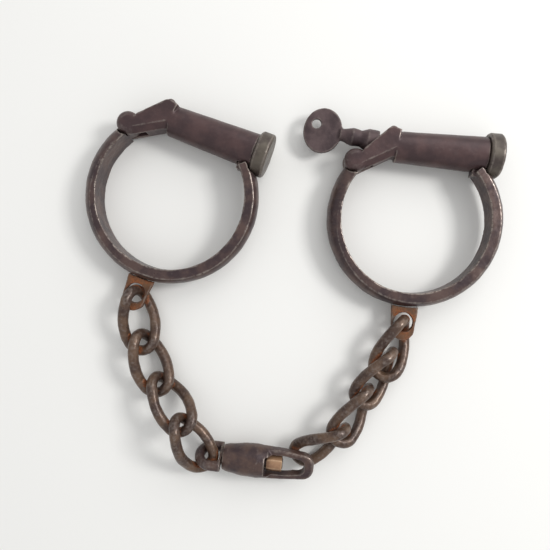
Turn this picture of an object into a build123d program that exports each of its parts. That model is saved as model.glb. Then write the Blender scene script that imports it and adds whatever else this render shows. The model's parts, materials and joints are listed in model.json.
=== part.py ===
from build123d import *
import math
import os

# Screw-key barrel cuffs: two hinged cuffs joined by eight chain links and a swivel.
# Each cuff is drawn in its own frame: origin at the centre of the bow's ring, +X along the
# barrel towards its cap, +Y from the ring's centre towards the barrel, +Z square to the ring.
# The frames are then laid on the table, and everything is shifted so that the origin is
# the bottom centre of the whole object's box.

# ---------------------------------------------------------------- driving dimensions (mm)
FIT = 0.06              # radial clearance of a running fit
SNUG = 0.01             # clearance of pieces fixed to each other
GAP = 0.35              # clearance between pieces that only pass each other

# The bow: a forged ring with a ridge on each side, flatter inside than outside
BOW_INNER_R = 38.5
BOW_OUTER_R = 46.0
BOW_BLANK_HALF = 8.6    # half of the width before the sides are planed
BOW_MEAN_HALF = 7.25    # half of the planed width, on average
BOW_TAPER_HALF = 1.25   # how much that grows towards the hinge
BOW_START = 137.0       # degrees round the ring, at the hinge
BOW_END = 404.5         # degrees round the ring, where it enters the barrel
HEEL_OUTER_R = 45.0
HEEL_START = 131.5      # degrees round the ring, where the hinge leaf begins
HEEL_END = 150.0

# The hinge at the end of the lock's arm
PIN_X = -34.0
PIN_Y = 27.5
PIN_R = 2.0
KNUCKLE_R = 6.2
KNUCKLE_WIDTH = 16.4
KNUCKLE_ROUNDING = 3.6
PIN_LENGTH = 12.0       # blind at both ends, inside the knuckle
TONGUE_WIDTH = 6.4
FORK_DEPTH_R = 9.8      # radius of the fork's slot round the pin

# The lock's barrel, along X at this distance from the ring's centre
BARREL_Y = 37.2
BARREL_START_X = -14.0
BARREL_END_X = 33.2
BARREL_START_R = 8.2
BARREL_END_R = 9.6
NECK_R = 8.6            # turned-down end that carries the cap
NECK_LENGTH = 4.0
BORE_R = 5.5
CAP_R = 11.8
CAP_LENGTH = 7.5
CAP_CHAMFER = 1.0

# The arm from the barrel's key end down to the hinge
ARM_WIDTH = 16.4
ARM_BEVEL = 3.2         # along the arm's inner edges
ARM_CORNER_R = 4.0
ARM_OUTLINE = [
    (-12.0, 45.0),
    (-17.6, 46.5),
    (-30.4, 33.7),
    (PIN_X, PIN_Y),
    (-29.3, 23.1),
    (-14.5, 31.6),
]
LIP_X = -16.2
LIP_Y = 44.3
LIP_R = 2.6

# The bow's tongue and the slot it enters, beside the cap
TONGUE_X = 29.3
TONGUE_THICKNESS = 5.6
TONGUE_ROOT_Y = 25.2
TONGUE_TIP_Y = 40.9
TONGUE_HALF_WIDTH = 3.6
NOTCH_DEPTH = 2.9
NOTCH_HEIGHT = 4.0

# The bolt, its spring and its guide collar, inside the barrel
BOLT_TRAVEL = 3.2
BOLT_NOSE_X = 25.0
BOLT_HEAD_LENGTH = 11.7
BOLT_NOSE_LENGTH = 3.8
BOLT_NOSE_R = 1.7
STUD_R = 2.0
STUD_END_X = -9.5
GUIDE_X = 0.5
GUIDE_LENGTH = 3.5
SPRING_WIRE = 1.0
SPRING_R = 4.1
SPRING_TURNS = 4
SPRING_SLACK = 0.15     # space left between the spring and the bolt's head

# The screw key, along its own axis from the disc's centre
KEY_CANT = 6.2          # degrees that the key leans, on the slack of its thread
KEY_PIVOT_X = -7.0
KEY_DISC_LENGTH = 20.6
KEY_DISC_WIDTH = 23.8
KEY_DISC_THICKNESS = 2.6
KEY_HOLE_R = 2.4
KEY_HOLE_ALONG = -3.9
KEY_HOLE_ACROSS = 2.9
KEY_PIVOT_REACH = 45.8  # from the disc's centre to the point that the key leans about
KEY_REACH = 48.8        # from the disc's centre to the end of the threaded tube
KEY_COLLAR_END = 29.6
KEY_TUBE_R = 3.3
KEY_TUBE_BORE_R = 2.5
KEY_THREAD_DEPTH = 9.0
KEY_STEM = [            # distance from the disc's centre, radius
    (9.0, 0.0),
    (9.0, 3.2),
    (11.5, 3.5),
    (16.0, 4.8),
    (20.5, 4.3),
    (24.0, 5.9),
    (KEY_COLLAR_END, 5.9),
    (KEY_COLLAR_END, 0.0),
]
POCKET_R = 6.5          # flat pocket that the key's collar enters
POCKET_LENGTH = 16.0

# The lug, brazed on the bow opposite the barrel
LUG_HOLE_Y = -54.2
LUG_HOLE_R = 4.9
LUG_END_Y = -64.0
LUG_ROOT_WIDTH = 15.5
LUG_TIP_WIDTH = 12.4
LUG_THICKNESS = 4.0

# The chain's links
LINK_WIRE_R = 3.0
LINK_HALF_LENGTH = 16.2     # centre line
LINK_HALF_WIDTH = 8.3       # centre line, at the middle
LINK_END_R = 7.0            # centre line, at each end
LINK_TWIST = 80.0           # degrees from one end to the other
LINK_STEPS = 24             # points along each half of the centre line

# The swivel, along its own axis from the middle of its body
SWIVEL_BACK_X = -16.3
SWIVEL_BODY_R = 8.8
SWIVEL_BODY = [         # distance along the axis, radius
    (SWIVEL_BACK_X, 0.0),
    (SWIVEL_BACK_X, 6.4),
    (-13.5, 7.3),
    (-6.0, 8.4),
    (2.0, SWIVEL_BODY_R),
    (7.5, 8.2),
    (12.0, 4.0),
    (12.0, 0.0),
]
WINDOW_START_X = 6.2
WINDOW_WAIST_X = 16.0
WINDOW_END_X = 26.6
WINDOW_HALF = 5.1
WINDOW_END_HALF = 3.6
SWIVEL_SHOULDER_X = 14.0
SWIVEL_SHOULDER_HALF = 8.3
SWIVEL_END_X = 31.9
SWIVEL_END_HALF = 6.6
FRAME_THICKNESS = 5.7
FRAME_ROUNDING = 1.5
EYE_SHANK_R = 3.0
EYE_WIRE_R = 2.8
EYE_HALF_WIDTH = 6.8        # centre line
EYE_CENTRE_X = -21.9
EYE_PLATE = 1.5             # thickness of the eye's base plate
NUT_START_X = 6.6
NUT_LENGTH = 8.6
RIVET_PROUD = 0.4
NUT_CORNER_R = 4.7

# ---------------------------------------------------------------- how everything lies
TABLE_CLEARANCE = 0.1

# Where each cuff lies: ring centre and the heading of its barrel
LEFT_CUFF = {"x": -63.0, "y": 48.5, "heading": -20.9}
RIGHT_CUFF = {"x": 64.4, "y": 36.2, "heading": -5.9}
# Each cuff rests on its cap's rim, on the bow's wide end and on the link under its lug:
# the height of the cuff's middle plane above the table at each of these places
CUFF_SUPPORTS = [
    (36.7, BARREL_Y, CAP_R + TABLE_CLEARANCE),
    (-40.0, 10.0, 8.5),
    (0.0, -58.0, 8.8),
]

SWIVEL = {"x": -20.1, "y": -90.4, "z": 10.0, "heading": -5.5, "pitch": 3.0}
SWIVEL_FRAME_ROLL = 10.0
SWIVEL_EYE_ROLL = -60.0

# Where each link lies, counted from its cuff to the swivel: centre, then heading, pitch
# and roll in degrees. They lean to and fro, as slack links do.
LEFT_LINKS = [
    (-80.80, -16.70, 8.80, -83.59, -0.64, -24.08),
    (-74.90, -39.25, 8.96, -70.58, 1.85, -27.81),
    (-63.07, -59.62, 12.69, -56.78, 19.83, -30.81),
    (-52.36, -80.65, 14.02, -60.86, -21.79, -34.69),
]
RIGHT_LINKS = [
    (53.65, -31.42, 9.11, -112.24, 1.30, 148.28),
    (44.58, -46.95, 9.71, -123.16, 0.27, -42.87),
    (32.37, -66.38, 10.26, -122.12, 3.54, -44.69),
    (15.44, -81.79, 8.89, -144.49, -19.63, -46.24),
]


# ---------------------------------------------------------------- helpers
def rod(radius, start, end, y=0.0):
    """Round bar along X."""
    base = Plane(origin=(start, y, 0), x_dir=(0, 1, 0), z_dir=(1, 0, 0))
    return extrude(base * Circle(radius), amount=end - start)


def post(radius, x, y, width):
    """Round bar along Z, centred on the middle plane."""
    return extrude(Pos(x, y) * Circle(radius), amount=width / 2, both=True)


def slab(points, width):
    """Flat plate with this outline, centred on the middle plane."""
    return extrude(make_face(Polyline(*points, close=True)), amount=width / 2, both=True)


def turned(points, y=0.0):
    """Solid turned about a line along X, from its outline of (x, radius) points."""
    outline = Polyline(*[(x, y + radius) for x, radius in points], close=True)
    return revolve(make_face(outline), axis=Axis((0, y, 0), (1, 0, 0)))


def turned_arc(face, start, end):
    """Sweeps a face of the XZ plane about Z, from one angle to another."""
    return Rot(0, 0, start) * revolve(face, axis=Axis.Z, revolution_arc=end - start)


def lying(x, y, z, heading, pitch=0.0, roll=0.0):
    """Place of a piece whose own X points along heading, raised by pitch, rolled about itself."""
    h, p, r = (math.radians(angle) for angle in (heading, pitch, roll))
    along = Vector(math.cos(h) * math.cos(p), math.sin(h) * math.cos(p), math.sin(p))
    across = Vector(-math.sin(h), math.cos(h), 0)
    up = along.cross(across)
    return Plane(
        origin=(x, y, z),
        x_dir=along,
        z_dir=up * math.cos(r) - across * math.sin(r),
    ).location


# ---------------------------------------------------------------- the bow and its lug
def bow_ring():
    """The bow's forged ring: flat inside, rounded outside, its sides planed to a taper."""
    blank = Ellipse(BOW_OUTER_R - BOW_INNER_R, BOW_BLANK_HALF)
    outer_half = Pos(BOW_OUTER_R, 0) * Rectangle(2 * BOW_OUTER_R, 4 * BOW_BLANK_HALF)
    section = Plane.XZ * (Pos(BOW_INNER_R, 0) * (blank & outer_half))
    return turned_arc(section, BOW_START, BOW_END) & taper_wedge()


def taper_wedge():
    """Wedge that makes the bow widest beside the hinge and narrowest opposite it."""
    towards_hinge = Vector(PIN_X, PIN_Y, 0).normalized()
    side = Plane(
        origin=(0, 0, 0), x_dir=towards_hinge, z_dir=towards_hinge.cross(Vector(0, 0, 1))
    )
    reach = 1.5 * BOW_OUTER_R
    wide = BOW_MEAN_HALF + BOW_TAPER_HALF * reach / BOW_INNER_R
    narrow = BOW_MEAN_HALF - BOW_TAPER_HALF * reach / BOW_INNER_R
    outline = Polyline(
        (reach, -wide), (reach, wide), (-reach, narrow), (-reach, -narrow), close=True
    )
    return extrude(side * make_face(outline), amount=reach, both=True)


def tongue(grown=0.0):
    """The bow's tongue, an arc about the hinge pin; grown makes the slot that it enters."""
    middle_r = TONGUE_X - PIN_X
    half = TONGUE_THICKNESS / 2 + grown
    width = 2 * (TONGUE_HALF_WIDTH + grown)
    band = post(middle_r + half, PIN_X, PIN_Y, width) - post(middle_r - half, PIN_X, PIN_Y, 2 * width)
    height = TONGUE_TIP_Y + grown - TONGUE_ROOT_Y
    keep = Pos(TONGUE_X, TONGUE_ROOT_Y + height / 2, 0) * Box(20, height, width)
    return band & keep


def hinge_heel():
    """The middle leaf of the hinge: the bow's thinned end, running past the pin inside the fork."""
    section = Plane.XZ * (Pos((BOW_INNER_R + HEEL_OUTER_R) / 2, 0) * Rectangle(
        HEEL_OUTER_R - BOW_INNER_R, TONGUE_WIDTH))
    arc = turned_arc(section, HEEL_START, HEEL_END)
    eye = post(KNUCKLE_R - GAP, PIN_X, PIN_Y, TONGUE_WIDTH)
    return (arc & post(FORK_DEPTH_R - GAP, PIN_X, PIN_Y, TONGUE_WIDTH)) + eye


def bow():
    """The whole bow: ring, hinge leaf and locking tongue with its notch."""
    ears = post(KNUCKLE_R + GAP, PIN_X, PIN_Y, 2 * KNUCKLE_WIDTH)
    ears -= post(KNUCKLE_R + 1, PIN_X, PIN_Y, TONGUE_WIDTH)
    barrel_nest = rod(BARREL_END_R + GAP, 0, BARREL_END_X + NECK_LENGTH, BARREL_Y)
    cap_nest = rod(CAP_R + GAP, BARREL_END_X - GAP, BARREL_END_X + 4 * CAP_LENGTH, BARREL_Y)
    notch_tip = TONGUE_X - TONGUE_THICKNESS / 2 + NOTCH_DEPTH
    notch = Pos(notch_tip - 5, BARREL_Y, 0) * Box(10, NOTCH_HEIGHT, NOTCH_HEIGHT)
    shape = bow_ring() - ears - barrel_nest + tongue() + hinge_heel()
    return shape - cap_nest - notch - post(PIN_R + FIT, PIN_X, PIN_Y, 2 * KNUCKLE_WIDTH)


def chain_lug():
    """Flat plate brazed on the bow opposite the barrel, with the hole for the chain."""
    root = LUG_ROOT_WIDTH / 2
    tip = LUG_TIP_WIDTH / 2
    tip_y = LUG_END_Y + tip
    plate = slab([(-root, -BOW_INNER_R), (root, -BOW_INNER_R), (tip, tip_y), (-tip, tip_y)], LUG_THICKNESS)
    plate += post(tip, 0, tip_y, LUG_THICKNESS)
    core = post(BOW_INNER_R + 1, 0, 0, 2 * LUG_THICKNESS)
    return plate - core - bow_ring() - post(LUG_HOLE_R, 0, LUG_HOLE_Y, 2 * LUG_THICKNESS)


# ---------------------------------------------------------------- the lock
def key_place():
    """Where the key sits in a cuff's frame: leaning on its thread about a point inside."""
    return Pos(KEY_PIVOT_X, BARREL_Y, 0) * Rot(0, 0, -KEY_CANT) * Pos(-KEY_PIVOT_REACH, 0, 0)


def lock_barrel():
    """Barrel, arm and fork in one forging, bored from the keyhole to the cap."""
    neck_end = BARREL_END_X + NECK_LENGTH
    barrel = turned(
        [
            (BARREL_START_X, 0),
            (BARREL_START_X, BARREL_START_R),
            (BARREL_END_X, BARREL_END_R),
            (BARREL_END_X, NECK_R),
            (neck_end, NECK_R),
            (neck_end, 0),
        ],
        BARREL_Y,
    )
    knuckle = post(KNUCKLE_R, PIN_X, PIN_Y, KNUCKLE_WIDTH)
    knuckle = fillet(knuckle.edges().filter_by(GeomType.CIRCLE), KNUCKLE_ROUNDING)
    fork = post(FORK_DEPTH_R, PIN_X, PIN_Y, TONGUE_WIDTH + 2 * GAP)
    pin_hole = post(PIN_R + SNUG, PIN_X, PIN_Y, PIN_LENGTH + 2 * SNUG)
    pocket = key_place() * rod(POCKET_R, KEY_COLLAR_END - POCKET_LENGTH, KEY_COLLAR_END + GAP)
    bore = rod(BORE_R, PIN_X, neck_end, BARREL_Y)
    body = barrel + lock_arm() + knuckle
    return body - fork - pin_hole - pocket - bore - tongue(GAP)


def lock_arm():
    """Arm from the barrel to the hinge, bevelled inside, with a rounded lip at its corner."""
    arm = slab(ARM_OUTLINE, ARM_WIDTH)
    upright = arm.edges().filter_by(Axis.Z)
    corner = upright.sort_by_distance((*ARM_OUTLINE[1], 0))[0]
    arm = fillet(corner, ARM_CORNER_R)
    inner_x, inner_y = (
        (a + b) / 2 for a, b in zip(ARM_OUTLINE[4], ARM_OUTLINE[5])
    )
    inner_edges = [
        arm.edges().sort_by_distance((inner_x, inner_y, side * ARM_WIDTH / 2))[0]
        for side in (-1, 1)
    ]
    arm = chamfer(inner_edges, ARM_BEVEL)
    return arm + post(LIP_R, LIP_X, LIP_Y, ARM_WIDTH - ARM_BEVEL)


def end_cap():
    """Round cap over the barrel's turned neck."""
    cap = rod(CAP_R, BARREL_END_X, BARREL_END_X + CAP_LENGTH, BARREL_Y)
    cap = chamfer(cap.edges().filter_by(GeomType.CIRCLE), CAP_CHAMFER)
    return cap - rod(NECK_R + SNUG, BARREL_END_X, BARREL_END_X + NECK_LENGTH + SNUG, BARREL_Y)


def hinge_pin():
    """Plain pin through the fork and the bow's hinge leaf, hidden in the knuckle."""
    return post(PIN_R, PIN_X, PIN_Y, PIN_LENGTH)


def lock_bolt():
    """Round bolt: nose for the bow's notch, head that fills the bore, threaded stud."""
    head_end = BOLT_NOSE_X - BOLT_NOSE_LENGTH
    head_start = head_end - BOLT_HEAD_LENGTH
    head = rod(BORE_R - FIT, head_start, head_end, BARREL_Y)
    nose = rod(BOLT_NOSE_R, head_end, BOLT_NOSE_X, BARREL_Y)
    stud = rod(STUD_R, STUD_END_X, head_start, BARREL_Y)
    return head + nose + stud


def guide_collar():
    """Collar pressed in the bore: it guides the stud and backs the spring."""
    collar = rod(BORE_R - SNUG, GUIDE_X, GUIDE_X + GUIDE_LENGTH, BARREL_Y)
    return collar - rod(STUD_R + FIT, GUIDE_X - 1, GUIDE_X + GUIDE_LENGTH + 1, BARREL_Y)


def bolt_spring():
    """Coil spring between the collar and the bolt's head, pressed short by the drawn bolt."""
    start = GUIDE_X + GUIDE_LENGTH + SPRING_WIRE / 2 + SNUG
    end = BOLT_NOSE_X - BOLT_NOSE_LENGTH - BOLT_HEAD_LENGTH - SPRING_WIRE / 2 - SPRING_SLACK
    height = end - start
    line = Helix(pitch=height / SPRING_TURNS, height=height, radius=SPRING_R)
    wire = sweep(Plane(origin=line @ 0, z_dir=line % 0) * Circle(SPRING_WIRE / 2), path=line, is_frenet=True)
    return Pos(start, BARREL_Y, 0) * Rot(0, 90, 0) * wire


def key():
    """Screw key along X: pierced disc, baluster stem and a tube threaded inside."""
    disc = extrude(Ellipse(KEY_DISC_LENGTH / 2, KEY_DISC_WIDTH / 2), amount=KEY_DISC_THICKNESS / 2, both=True)
    hole = post(KEY_HOLE_R, KEY_HOLE_ALONG, KEY_HOLE_ACROSS, 2 * KEY_DISC_THICKNESS)
    stem = turned(KEY_STEM)
    tube = rod(KEY_TUBE_R, KEY_COLLAR_END, KEY_REACH)
    thread = rod(KEY_TUBE_BORE_R, KEY_REACH - KEY_THREAD_DEPTH, KEY_REACH)
    return disc - hole + stem + tube - thread


# ---------------------------------------------------------------- the chain and the swivel
def chain_link():
    """Oval link of round wire, twisted along its length so that both strands show."""
    points = [twisted(*point) for point in half_outline()]
    slope = LINK_HALF_WIDTH * math.radians(LINK_TWIST / 2) / LINK_HALF_LENGTH
    line = Spline(*points, tangents=[(-1, 0, -slope), (1, 0, -slope)])
    half = sweep(Plane(origin=line @ 0, z_dir=line % 0) * Circle(LINK_WIRE_R), path=line)
    return half + Rot(0, 0, 180) * half


def half_outline():
    """Points along half of a flat link's centre line, from the middle of one side to the other."""
    side_r = link_side_radius()
    end_x = LINK_HALF_LENGTH - LINK_END_R
    tangent = math.degrees(math.atan2(side_r - LINK_HALF_WIDTH, end_x))
    side_centre = (0, LINK_HALF_WIDTH - side_r)
    half = Wire(
        [
            CenterArc(side_centre, side_r, 90, 90 - tangent),
            CenterArc((-end_x, 0), LINK_END_R, 180 - tangent, 2 * tangent),
            CenterArc((0, -side_centre[1]), side_r, 180 + tangent, 90 - tangent),
        ]
    )
    points = [half @ (step / LINK_STEPS) for step in range(LINK_STEPS + 1)]
    return [(point.X, point.Y) for point in points]


def twisted(x, y):
    """A point of the flat centre line, turned about the link's length."""
    turn = math.radians(LINK_TWIST / 2 * x / LINK_HALF_LENGTH)
    return (x, y * math.cos(turn), y * math.sin(turn))


def link_side_radius():
    """Radius of a link's sides, which run tangent into its ends."""
    end_x = LINK_HALF_LENGTH - LINK_END_R
    rise = LINK_HALF_WIDTH**2 - LINK_END_R**2
    return (end_x**2 + rise) / (2 * (LINK_HALF_WIDTH - LINK_END_R))


def swivel_frame():
    """Solid swivel body, bored for the eye's shank, with an open window for the last link."""
    body = turned(SWIVEL_BODY)
    bar = tapered_bar(
        [(0, SWIVEL_BODY_R), (SWIVEL_SHOULDER_X, SWIVEL_SHOULDER_HALF), (SWIVEL_END_X, SWIVEL_END_HALF)],
        FRAME_THICKNESS,
    )
    bar = fillet(bar.faces().sort_by(Axis.Z)[-1].edges(), FRAME_ROUNDING)
    bar = fillet(bar.faces().sort_by(Axis.Z)[0].edges(), FRAME_ROUNDING)
    window = tapered_bar(
        [(WINDOW_START_X, WINDOW_HALF), (WINDOW_WAIST_X, WINDOW_HALF), (WINDOW_END_X, WINDOW_END_HALF)],
        4 * SWIVEL_BODY_R,
    )
    shank_hole = rod(EYE_SHANK_R + FIT, SWIVEL_BACK_X - 1, WINDOW_START_X + 1)
    return body + bar - window - shank_hole


def tapered_bar(outline, thickness):
    """Plate along X, symmetric, from (x, half width) points, with its far end rounded."""
    mirrored = [(x, -half) for x, half in reversed(outline)]
    plate = slab(outline + mirrored, thickness)
    ends = plate.edges().filter_by(Axis.Z).group_by(Axis.X)[-1]
    return fillet(ends, outline[-1][1] - 0.3)


def swivel_eye():
    """Eye that turns in the swivel body: half ring, two legs, base plate and shank."""
    plate_end = SWIVEL_BACK_X - GAP
    plate_start = plate_end - EYE_PLATE
    ring = Plane.XZ * (Pos(EYE_HALF_WIDTH, 0) * Circle(EYE_WIRE_R))
    shape = Pos(EYE_CENTRE_X, 0, 0) * turned_arc(ring, 90, 270)
    for side in (-EYE_HALF_WIDTH, EYE_HALF_WIDTH):
        shape += rod(EYE_WIRE_R, EYE_CENTRE_X, plate_end, side)
    half = EYE_HALF_WIDTH
    plate = slab(
        [(plate_start, -half), (plate_end, -half), (plate_end, half), (plate_start, half)],
        2 * EYE_WIRE_R,
    )
    return shape + plate + rod(EYE_SHANK_R, plate_end - 1, NUT_START_X + NUT_LENGTH + RIVET_PROUD)


def swivel_nut():
    """Six-sided nut riveted on the shank's end inside the window."""
    base = Plane(origin=(NUT_START_X, 0, 0), x_dir=(0, 1, 0), z_dir=(1, 0, 0))
    nut = extrude(base * RegularPolygon(NUT_CORNER_R, 6), amount=NUT_LENGTH)
    return nut - rod(EYE_SHANK_R + SNUG, NUT_START_X - 1, NUT_START_X + NUT_LENGTH + 1)


# ---------------------------------------------------------------- putting it together
def cuff_place(cuff):
    """Place of a cuff's frame on the table, leaning on its three supports."""
    first, second, third = (Vector(*point) for point in CUFF_SUPPORTS)
    normal = (second - first).cross(third - first).normalized()
    if normal.Z < 0:
        normal = -normal
    height = first.Z + (normal.X * first.X + normal.Y * first.Y) / normal.Z
    along = Vector(1, 0, -normal.X / normal.Z).normalized()
    leaning = Plane(origin=(0, 0, height), x_dir=along, z_dir=normal).location
    return Pos(cuff["x"], cuff["y"], 0) * Rot(0, 0, cuff["heading"]) * leaning


def swivel_place(roll):
    """Place of the swivel's axis, rolled about itself."""
    return lying(**SWIVEL, roll=roll)


CUFF_PIECES = {
    "lock_barrel": lock_barrel,
    "end_cap": end_cap,
    "hinge_pin": hinge_pin,
    "lock_bolt": lock_bolt,
    "bolt_spring": bolt_spring,
    "guide_collar": guide_collar,
    "bow": bow,
    "chain_lug": chain_lug,
}


def on_the_table():
    """Every piece by name, where it lies on the table."""
    pieces = {}
    for side, cuff in (("left", LEFT_CUFF), ("right", RIGHT_CUFF)):
        for name, make in CUFF_PIECES.items():
            pieces[f"{side}_{name}"] = cuff_place(cuff) * make()
    pieces["key"] = cuff_place(RIGHT_CUFF) * key_place() * key()
    for side, links in (("left", LEFT_LINKS), ("right", RIGHT_LINKS)):
        for number, place in enumerate(links, start=1):
            pieces[f"{side}_link_{number}"] = lying(*place) * chain_link()
    pieces["swivel_frame"] = swivel_place(SWIVEL_FRAME_ROLL) * swivel_frame()
    pieces["swivel_eye"] = swivel_place(SWIVEL_EYE_ROLL) * swivel_eye()
    pieces["swivel_nut"] = swivel_place(SWIVEL_EYE_ROLL) * swivel_nut()
    return pieces


def bottom_centre(pieces):
    """Bottom centre of the box round all the pieces."""
    boxes = [piece.bounding_box() for piece in pieces.values()]
    low = [min(getattr(box.min, axis) for box in boxes) for axis in "XYZ"]
    high = [max(getattr(box.max, axis) for box in boxes) for axis in "XYZ"]
    return ((low[0] + high[0]) / 2, (low[1] + high[1]) / 2, low[2])


PIECES = on_the_table()
ORIGIN = bottom_centre(PIECES)
TO_ORIGIN = Pos(*(-value for value in ORIGIN))

os.makedirs("parts", exist_ok=True)
for name, piece in PIECES.items():
    export_step(TO_ORIGIN * piece, f"parts/{name}.step")
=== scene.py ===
import json
import math

import bpy
import numpy as np
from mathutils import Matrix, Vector
from mathutils.bvhtree import BVHTree


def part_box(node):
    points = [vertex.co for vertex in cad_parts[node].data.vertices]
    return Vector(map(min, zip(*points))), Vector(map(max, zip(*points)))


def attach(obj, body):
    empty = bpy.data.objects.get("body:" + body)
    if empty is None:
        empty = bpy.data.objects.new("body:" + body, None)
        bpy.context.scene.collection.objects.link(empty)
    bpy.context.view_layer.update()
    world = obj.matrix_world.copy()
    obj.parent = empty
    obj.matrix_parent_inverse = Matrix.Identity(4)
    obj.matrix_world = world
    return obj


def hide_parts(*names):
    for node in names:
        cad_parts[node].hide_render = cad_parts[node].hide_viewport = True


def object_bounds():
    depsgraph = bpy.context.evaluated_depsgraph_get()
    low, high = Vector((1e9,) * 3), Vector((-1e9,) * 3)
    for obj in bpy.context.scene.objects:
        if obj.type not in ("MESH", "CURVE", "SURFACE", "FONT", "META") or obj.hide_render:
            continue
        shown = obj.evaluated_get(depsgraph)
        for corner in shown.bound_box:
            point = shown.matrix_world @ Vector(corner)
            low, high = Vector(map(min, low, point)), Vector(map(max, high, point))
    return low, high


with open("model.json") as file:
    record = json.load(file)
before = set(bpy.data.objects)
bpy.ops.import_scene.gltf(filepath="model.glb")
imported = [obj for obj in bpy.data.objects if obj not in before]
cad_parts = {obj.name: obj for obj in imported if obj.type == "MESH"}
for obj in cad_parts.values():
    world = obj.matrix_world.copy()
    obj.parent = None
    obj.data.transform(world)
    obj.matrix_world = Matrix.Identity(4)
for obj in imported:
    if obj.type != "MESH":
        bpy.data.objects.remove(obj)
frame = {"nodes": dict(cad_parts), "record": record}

# Worn iron cuffs on a pale table. Every visible CAD node is replaced by a finer copy of
# itself, softened and dented as hand-forged iron is, with procedural rust and wear, painted
# shade in hollows and, on the bows, a painted highlight along the ridges.

CAD_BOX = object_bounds()
MM = 0.001

# ---------------------------------------------------------------- the worn copies
VOXEL = 0.42 * MM           # size of the remeshed faces
SOFTEN_STEPS = 4            # rounds off every edge by about one face
WEAR_AND_SHADE_STEPS = 14             # how far round an edge its wear, and into a hollow its painted shade, reaches
EDGE_HEIGHT = 0.10 * MM     # height of an edge above its smoothed shape, at full wear; also the scale for the depth of a hollow below it, which gets painted shade
RUB_DISTANCE = 2.6 * MM     # pieces nearer than this have rust or rubbing between them

# For each kind of node: depth of the broad dents and of the fine pits, in mm
FINISH = {
    "bow": (0.25, 0.04),
    "chain_lug": (0.35, 0.12),
    "lock_barrel": (0.14, 0.03),
    "end_cap": (0.18, 0.06),
    "key": (0.12, 0.05),
    "link": (0.35, 0.07),
    "swivel_frame": (0.25, 0.06),
    "swivel_eye": (0.30, 0.06),
    "swivel_nut": (0.12, 0.04),
}
HIDDEN_KINDS = ("lock_bolt", "bolt_spring", "guide_collar", "hinge_pin")


def kind_of(node):
    """The kind of piece that a node is, from its name."""
    if "link" in node:
        return "link"
    return node.removeprefix("left_").removeprefix("right_")


def clouds(name, size, depth=2):
    """Procedural noise that dents a surface, with lumps of about this size."""
    texture = bpy.data.textures.new(name, "CLOUDS")
    texture.noise_scale = size
    texture.noise_depth = depth
    texture.intensity = 1.0
    texture.contrast = 1.6
    return texture


def press_in(piece, texture, depth):
    """Adds noise that only presses the surface inwards, by up to this depth."""
    displace = piece.modifiers.new("dents", "DISPLACE")
    displace.texture = texture
    displace.texture_coords = "LOCAL"
    displace.mid_level = 1.0
    displace.strength = depth


def soften(piece, steps):
    """Adds a light smoothing of the surface."""
    smooth = piece.modifiers.new("soften", "SMOOTH")
    smooth.factor = 0.5
    smooth.iterations = steps


def applied(piece):
    """The piece's mesh with its modifiers applied."""
    graph = bpy.context.evaluated_depsgraph_get()
    return bpy.data.meshes.new_from_object(piece.evaluated_get(graph))


def positions(mesh):
    """The mesh's vertex positions as an array."""
    values = np.zeros(len(mesh.vertices) * 3, np.float32)
    mesh.vertices.foreach_get("co", values)
    return values.reshape(-1, 3)


def normals(mesh):
    """The mesh's vertex normals as an array."""
    values = np.zeros(len(mesh.vertices) * 3, np.float32)
    mesh.vertex_normals.foreach_get("vector", values)
    return values.reshape(-1, 3)


def store(mesh, name, values):
    """Keeps one number per vertex under this name, for the materials."""
    mesh.attributes.new(name, "FLOAT", "POINT").data.foreach_set("value", values.astype(np.float32))


def edge_wear_and_hollow_shade(piece):
    """How far each vertex stands above (+) or below (-) the smoothed surface, from -1 to 1: edges above it
    wear, hollows below it get painted shade.
    """
    rest = positions(piece.data)
    soften(piece, WEAR_AND_SHADE_STEPS)
    flat = positions(applied(piece))
    piece.modifiers.clear()
    height = ((rest - flat) * normals(piece.data)).sum(axis=1)
    return np.clip(height / EDGE_HEIGHT, -1, 1)


def closeness(piece, others):
    """How close each vertex is to the pieces on other bodies, from 0 to 1."""
    values = np.zeros(len(piece.data.vertices))
    points = positions(piece.data)
    for other in others:
        tree = BVHTree.FromPolygons(
            [v.co for v in other.data.vertices], [p.vertices for p in other.data.polygons])
        for index, point in enumerate(points):
            distance = tree.find_nearest(Vector(point), RUB_DISTANCE)[3]
            if distance is not None:
                values[index] = max(values[index], 1 - distance / RUB_DISTANCE)
    return values


def worn_copy(node, body, material, others):
    """A finer, softened and dented copy of a CAD node, which stands for it."""
    source = frame["nodes"][node]
    piece = bpy.data.objects.new("worn_" + node, source.data.copy())
    bpy.context.scene.collection.objects.link(piece)
    broad, fine = FINISH[kind_of(node)]
    remesh = piece.modifiers.new("remesh", "REMESH")
    remesh.mode = "VOXEL"
    remesh.voxel_size = VOXEL
    soften(piece, SOFTEN_STEPS)
    press_in(piece, DENTS, broad * MM)
    press_in(piece, PITS, fine * MM)
    mesh = applied(piece)
    piece.modifiers.clear()
    piece.data = mesh
    mesh.shade_smooth()
    store(mesh, "edge", edge_wear_and_hollow_shade(piece))
    store(mesh, "near", closeness(piece, others))
    mesh.materials.clear()
    mesh.materials.append(material)
    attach(piece, body)
    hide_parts(node)
    return piece


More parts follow.
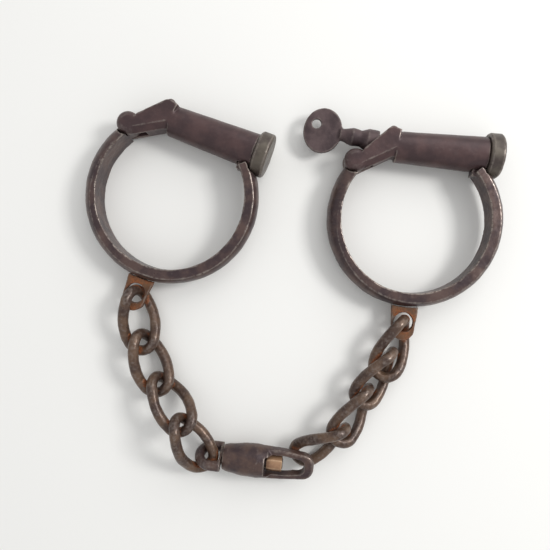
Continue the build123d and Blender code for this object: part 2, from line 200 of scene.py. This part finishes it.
# ---------------------------------------------------------------- materials
class Shader:
    """A material's nodes, added one at a time."""

    def __init__(self, name):
        self.material = bpy.data.materials.new(name)
        self.material.use_nodes = True
        self.tree = self.material.node_tree
        self.surface = self.tree.nodes["Principled BSDF"]
        self.place = self.tree.nodes.new("ShaderNodeTexCoord").outputs["Object"]

    def link(self, value, socket):
        """Joins an output to a socket, or sets the socket to a plain value."""
        if isinstance(value, bpy.types.NodeSocket):
            self.tree.links.new(value, socket)
        elif value is not None:
            socket.default_value = value

    def attribute(self, name):
        """A number kept per vertex under this name."""
        node = self.tree.nodes.new("ShaderNodeAttribute")
        node.attribute_name = name
        return node.outputs["Fac"]

    def noise(self, size, detail=4, roughness=0.55):
        """Noise from 0 to 1, with features of about this size in metres."""
        node = self.tree.nodes.new("ShaderNodeTexNoise")
        node.inputs["Scale"].default_value = 1 / size
        node.inputs["Detail"].default_value = detail
        node.inputs["Roughness"].default_value = roughness
        self.link(self.place, node.inputs["Vector"])
        return node.outputs["Fac"]

    def math(self, operation, first, second=None):
        """Result of a sum, difference or product."""
        node = self.tree.nodes.new("ShaderNodeMath")
        node.operation = operation
        self.link(first, node.inputs[0])
        self.link(second, node.inputs[1])
        return node.outputs[0]

    def ramp(self, value, low, high, bottom=0.0, top=1.0):
        """Value spread smoothly from low..high to bottom..top."""
        node = self.tree.nodes.new("ShaderNodeMapRange")
        node.interpolation_type = "SMOOTHSTEP"
        self.link(value, node.inputs["Value"])
        node.inputs["From Min"].default_value = low
        node.inputs["From Max"].default_value = high
        node.inputs["To Min"].default_value = bottom
        node.inputs["To Max"].default_value = top
        return node.outputs["Result"]

    def mix(self, share, first, second):
        """Blends two colours."""
        node = self.tree.nodes.new("ShaderNodeMix")
        node.data_type = "RGBA"
        self.link(share, node.inputs["Factor"])
        self.link(first, node.inputs["A"])
        self.link(second, node.inputs["B"])
        return node.outputs["Result"]

    def bump(self, height, distance, after=None):
        """Surface direction with this relief added, on top of an earlier one."""
        node = self.tree.nodes.new("ShaderNodeBump")
        node.inputs["Distance"].default_value = distance
        self.link(height, node.inputs["Height"])
        self.link(after, node.inputs["Normal"])
        return node.outputs["Normal"]


def rgb(red, green, blue):
    """Linear colour from the 0 to 255 values of a screen colour."""
    def linear(value):
        value /= 255
        return value / 12.92 if value <= 0.04045 else ((value + 0.055) / 1.055) ** 2.4
    return (linear(red), linear(green), linear(blue), 1.0)


def iron(name, skin, dark, worn, rust_share=0.0, shelter=0.0, grit=0.10, edge_wear_and_highlight=0.6, shine=0.42):
    """Old iron: a dark skin, bare metal on worn edges, painted shade in hollows, rust where it is rough or
    sheltered. Where the edge share is high, as on the bows, the lightened edges are also a painted highlight
    along the ridges.
    """
    s = Shader(name)
    edge = s.attribute("edge")
    near = s.attribute("near")
    broad = s.noise(9 * MM)
    grain = s.noise(1.6 * MM, detail=6, roughness=0.65)
    specks = s.noise(0.6 * MM, detail=3)
    colour = s.mix(s.ramp(broad, 0.35, 0.65), dark, skin)
    colour = s.mix(s.ramp(grain, 0.52, 0.75, top=grit), colour, worn)
    colour = s.mix(s.ramp(specks, 0.66, 0.74, top=2 * grit), colour, worn)
    # pale bare metal on worn convex edges; with a high edge share, as on the bows, this is also a painted
    # highlight along the ridges
    rub_and_ridge_highlight = s.math("MULTIPLY", s.ramp(edge, 0.25, 0.85), s.ramp(grain, 0.30, 0.60))
    rub_and_ridge_highlight = s.math("MULTIPLY", rub_and_ridge_highlight, edge_wear_and_highlight)
    colour = s.mix(rub_and_ridge_highlight, colour, worn)
    # painted shade: the colour is darkened towards the dark skin where the surface lies below its smoothed
    # shape, in creases and hollows
    painted_crevice_shade = s.ramp(edge, -0.7, -0.15, bottom=0.6, top=0.0)
    colour = s.mix(painted_crevice_shade, colour, dark)
    rusty = rust_cover(s, broad, grain, near, rust_share, shelter)
    tone = s.mix(s.ramp(specks, 0.35, 0.65), RUST, DEEP_RUST)
    colour = s.mix(s.math("MULTIPLY", rusty, 0.85), colour, tone)
    s.link(colour, s.surface.inputs["Base Color"])
    bare = s.ramp(rub_and_ridge_highlight, 0.1, 0.6, bottom=0.35, top=0.9)
    s.link(s.math("SUBTRACT", bare, s.math("MULTIPLY", rusty, 0.3)), s.surface.inputs["Metallic"])
    rough = s.ramp(grain, 0.3, 0.7, bottom=shine - 0.05, top=shine + 0.10)
    rough = s.math("ADD", rough, s.math("MULTIPLY", rusty, 0.3))
    rough = s.math("SUBTRACT", rough, s.math("MULTIPLY", rub_and_ridge_highlight, 0.10))
    s.link(rough, s.surface.inputs["Roughness"])
    relief = s.bump(grain, 0.07 * MM)
    relief = s.bump(specks, 0.03 * MM, relief)
    relief = s.bump(rusty, 0.06 * MM, relief)
    s.link(relief, s.surface.inputs["Normal"])
    return s.material


def rust_cover(s, broad, grain, near, share, shelter):
    """Where rust lies: in patches, and between pieces that touch."""
    patch = s.math("ADD", s.math("MULTIPLY", broad, 0.6), s.math("MULTIPLY", grain, 0.4))
    patch = s.math("ADD", patch, s.math("MULTIPLY", near, shelter))
    return s.ramp(patch, 0.72 - 0.32 * share, 0.82 - 0.26 * share)


DARK = rgb(58, 44, 46)
WORN_AND_HIGHLIGHT = rgb(150, 140, 132)
RUST = rgb(150, 88, 46)
DEEP_RUST = rgb(96, 54, 32)


def materials():
    """One material for each slot in the record."""
    return {
        # the bow's high edge share paints a highlight along its ridges, on top of its real edge wear
        "bow_iron": iron("bow_iron", rgb(86, 67, 62), DARK, WORN_AND_HIGHLIGHT, 0.16, edge_wear_and_highlight=0.9, shine=0.32),
        "lock_iron": iron("lock_iron", rgb(80, 59, 58), rgb(64, 47, 48), WORN_AND_HIGHLIGHT, 0.04, grit=0.05, shine=0.36),
        "cap_iron": iron("cap_iron", rgb(92, 84, 74), rgb(66, 56, 52), WORN_AND_HIGHLIGHT, 0.05, shine=0.40),
        "lug_rust": iron("lug_rust", rgb(114, 82, 56), rgb(80, 54, 38), WORN_AND_HIGHLIGHT, 0.80, 0.12, shine=0.55),
        "chain_iron": iron("chain_iron", rgb(98, 76, 60), rgb(64, 47, 40), WORN_AND_HIGHLIGHT, 0.24, 0.40, shine=0.32),
        "swivel_iron": iron("swivel_iron", rgb(88, 68, 60), DARK, WORN_AND_HIGHLIGHT, 0.14, 0.16, shine=0.36),
        "nut_bronze": iron("nut_bronze", rgb(164, 128, 98), rgb(112, 80, 60), rgb(196, 168, 138), shine=0.40),
        "key_iron": iron("key_iron", rgb(84, 68, 68), DARK, WORN_AND_HIGHLIGHT, grit=0.05, edge_wear_and_highlight=0.4, shine=0.46),
        "lock_steel": iron("lock_steel", rgb(120, 116, 112), rgb(80, 76, 74), WORN_AND_HIGHLIGHT),
    }


# ---------------------------------------------------------------- the object
DENTS = clouds("dents", 7 * MM)
PITS = clouds("pits", 1.4 * MM, depth=3)


def build():
    """Every node of the record as a worn copy, or with its own material where it's hidden inside."""
    made = materials()
    slots = {row["node"]: row["material_slot"] for row in frame["record"]["subparts"]}
    bodies = frame["record"]["behaviour"]["bodies"]
    for body, nodes in bodies.items():
        for node in nodes:
            slot = slots[node]
            if kind_of(node) in HIDDEN_KINDS:
                mesh = frame["nodes"][node].data
                mesh.materials.clear()
                mesh.materials.append(made[slot])
                continue
            piece = worn_copy(node, body, made[slot], neighbours(node, nodes))


def neighbours(node, own_body):
    """The CAD nodes on other bodies whose boxes come near this node's box."""
    low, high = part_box(node)
    found = []
    for name, other in frame["nodes"].items():
        if name in own_body or kind_of(name) in HIDDEN_KINDS:
            continue
        first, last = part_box(name)
        if all(low[i] - RUB_DISTANCE < last[i] and high[i] + RUB_DISTANCE > first[i] for i in range(3)):
            found.append(other)
    return found


# ---------------------------------------------------------------- the studio
TABLE_COLOUR = rgb(236, 235, 231)
TABLE_SIZE = 6              # metres
ROOM_COLOUR = (0.97, 0.98, 1.0, 1)
ROOM_LIGHT = 0.72
WINDOW = {"place": (0.75, 0.22, 0.75), "size": 0.28, "power": 5.5}
FAR_WINDOW = {"place": (0.5, 0.9, 0.8), "size": 0.9, "power": 4.0}
CAMERA_RIGHT = -9.5 * MM    # from the middle of the object's box
CAMERA_BEYOND = 8.1 * MM
CAMERA_HEIGHT = 300 * MM    # above the table
CAMERA_LENS = 36            # mm
CAMERA_SENSOR = 36          # mm


def table_top():
    """Plain pale table that the object lies on."""
    bpy.ops.mesh.primitive_plane_add(size=TABLE_SIZE)
    table = bpy.context.object
    table.name = "table"
    s = Shader("table")
    s.link(TABLE_COLOUR, s.surface.inputs["Base Color"])
    s.surface.inputs["Roughness"].default_value = 0.6
    s.surface.inputs["Specular IOR Level"].default_value = 0.2
    table.data.materials.append(s.material)


def soft_light(name, place, size, power):
    """Square area light aimed at the object."""
    light = bpy.data.lights.new(name, "AREA")
    light.size = size
    light.energy = power
    lamp = bpy.data.objects.new(name, light)
    lamp.location = place
    lamp.rotation_euler = (-Vector(place)).to_track_quat("-Z", "Y").to_euler()
    bpy.context.scene.collection.objects.link(lamp)


def studio():
    """Even room light, a window on the right and a weaker one further round."""
    world = bpy.data.worlds.new("room")
    world.use_nodes = True
    background = world.node_tree.nodes["Background"]
    background.inputs["Color"].default_value = ROOM_COLOUR
    background.inputs["Strength"].default_value = ROOM_LIGHT
    bpy.context.scene.world = world
    soft_light("window", **WINDOW)
    soft_light("far_window", **FAR_WINDOW)


def camera():
    """Camera straight above, a little left of the object's middle and beyond it."""
    data = bpy.data.cameras.new("camera")
    data.lens = CAMERA_LENS
    data.sensor_width = CAMERA_SENSOR
    eye = bpy.data.objects.new("camera", data)
    low, high = CAD_BOX
    middle = (low + high) / 2
    eye.location = (middle.x + CAMERA_RIGHT, middle.y + CAMERA_BEYOND, low.z + CAMERA_HEIGHT)
    bpy.context.scene.collection.objects.link(eye)
    bpy.context.scene.camera = eye
    bpy.context.scene.view_settings.view_transform = "Standard"


build()
table_top()
studio()
camera()
